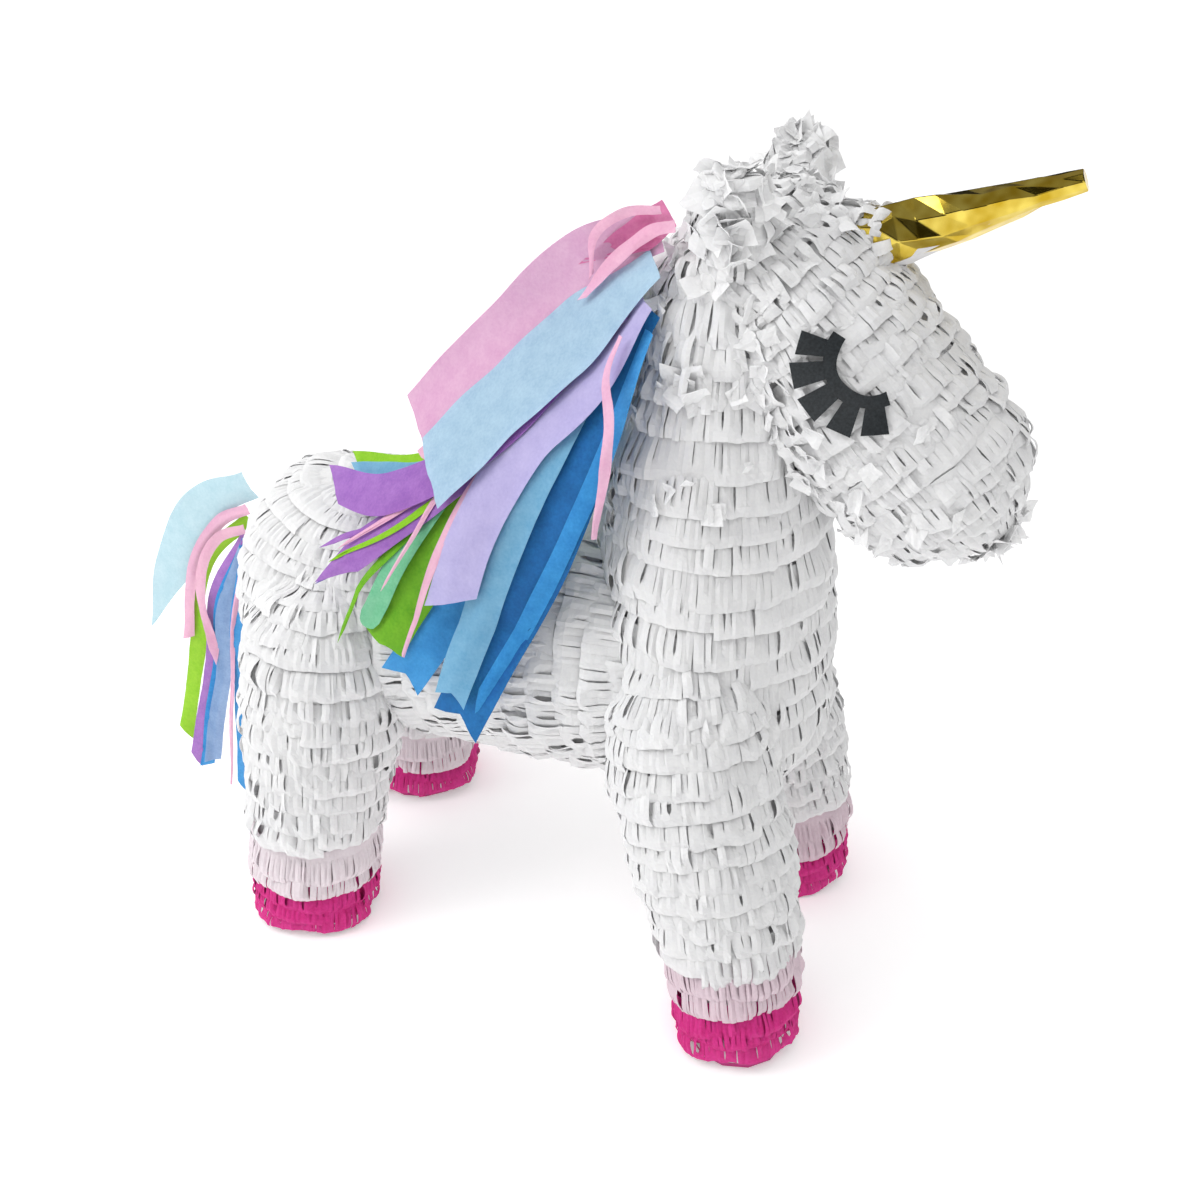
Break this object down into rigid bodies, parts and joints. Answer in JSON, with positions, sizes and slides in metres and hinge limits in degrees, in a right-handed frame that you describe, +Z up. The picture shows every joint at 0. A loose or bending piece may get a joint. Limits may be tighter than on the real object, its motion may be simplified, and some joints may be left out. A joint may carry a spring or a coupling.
{
  "type": "pinata",
  "caption": "Standing unicorn pinata: hollow card body covered in rows of fringed tissue, foil horn, tissue streamer mane and tail, and a hinged fill flap on its left flank.",
  "frame": {"origin": "centre of the whole object's bounding box at floor level, under the body, with the four soles on z = 0", "axes": "+X towards the nose and horn, +Y to the animal's left, +Z up"},
  "size_m": [0.5842, 0.2522, 0.495],
  "materials": {
    "black_paper": "satin",
    "bright_blue_tissue": "matte",
    "cyan_tissue": "matte",
    "deep_blue_tissue": "matte",
    "dusty_pink_tissue": "matte",
    "gold_foil": "polished",
    "green_tissue": "matte",
    "kraft_card": "matte",
    "lavender_tissue": "matte",
    "lime_tissue": "matte",
    "magenta_tissue": "matte",
    "mint_tissue": "matte",
    "pale_blue_tissue": "matte",
    "pale_pink_tissue": "matte",
    "purple_tissue": "matte",
    "rose_tissue": "matte",
    "sky_tissue": "matte",
    "slate_blue_tissue": "matte",
    "white_tissue": "matte"
  },
  "bodies": {
    "body": {"body_fringe": "white_tissue", "body_shell": "kraft_card", "front_left_hoof_fringe": "magenta_tissue", "front_left_leg_fringe": "white_tissue", "front_left_leg_tube": "kraft_card", "front_left_pale_band": "pale_pink_tissue", "front_left_sole": "kraft_card", "front_right_hoof_fringe": "magenta_tissue", "front_right_leg_fringe": "white_tissue", "front_right_leg_tube": "kraft_card", "front_right_pale_band": "pale_pink_tissue", "front_right_sole": "kraft_card", "head_fringe": "white_tissue", "head_shell": "kraft_card", "horn_cone": "kraft_card", "horn_foil": "gold_foil", "left_ear_card": "kraft_card", "left_ear_fringe": "white_tissue", "left_eyelash": "black_paper", "mane_blue_tip": "bright_blue_tissue", "mane_deep_blue": "deep_blue_tissue", "mane_green_wide": "green_tissue", "mane_lavender": "lavender_tissue", "mane_lime": "lime_tissue", "mane_mint": "mint_tissue", "mane_pale_blue": "pale_blue_tissue", "mane_pink_curl": "rose_tissue", "mane_pink_hanging": "rose_tissue", "mane_pink_wide": "dusty_pink_tissue", "mane_purple": "purple_tissue", "mane_purple_fan": "purple_tissue", "mane_rose_thin": "rose_tissue", "mane_sky_wide": "sky_tissue", "neck_fringe": "white_tissue", "neck_shell": "kraft_card", "rear_left_hoof_fringe": "magenta_tissue", "rear_left_leg_fringe": "white_tissue", "rear_left_leg_tube": "kraft_card", "rear_left_pale_band": "pale_pink_tissue", "rear_left_sole": "kraft_card", "rear_right_hoof_fringe": "magenta_tissue", "rear_right_leg_fringe": "white_tissue", "rear_right_leg_tube": "kraft_card", "rear_right_pale_band": "pale_pink_tissue", "rear_right_sole": "kraft_card", "right_ear_card": "kraft_card", "right_ear_fringe": "white_tissue", "right_eyelash": "black_paper", "tail_cyan_wide": "cyan_tissue", "tail_lime": "lime_tissue", "tail_long_blue": "bright_blue_tissue", "tail_pink": "rose_tissue", "tail_purple": "purple_tissue", "tail_slate_blue": "slate_blue_tissue"},
    "fill_flap": {"fill_flap": "kraft_card", "fill_flap_fringe": "white_tissue"}
  },
  "joints": [
    {"name": "fill_flap_hinge", "type": "hinge", "parent": "body", "child": "fill_flap", "pos_m": [-0.0079, 0.07, 0.2536], "axis": [1, 0, 0], "range_deg": [0, 110]}
  ]
}
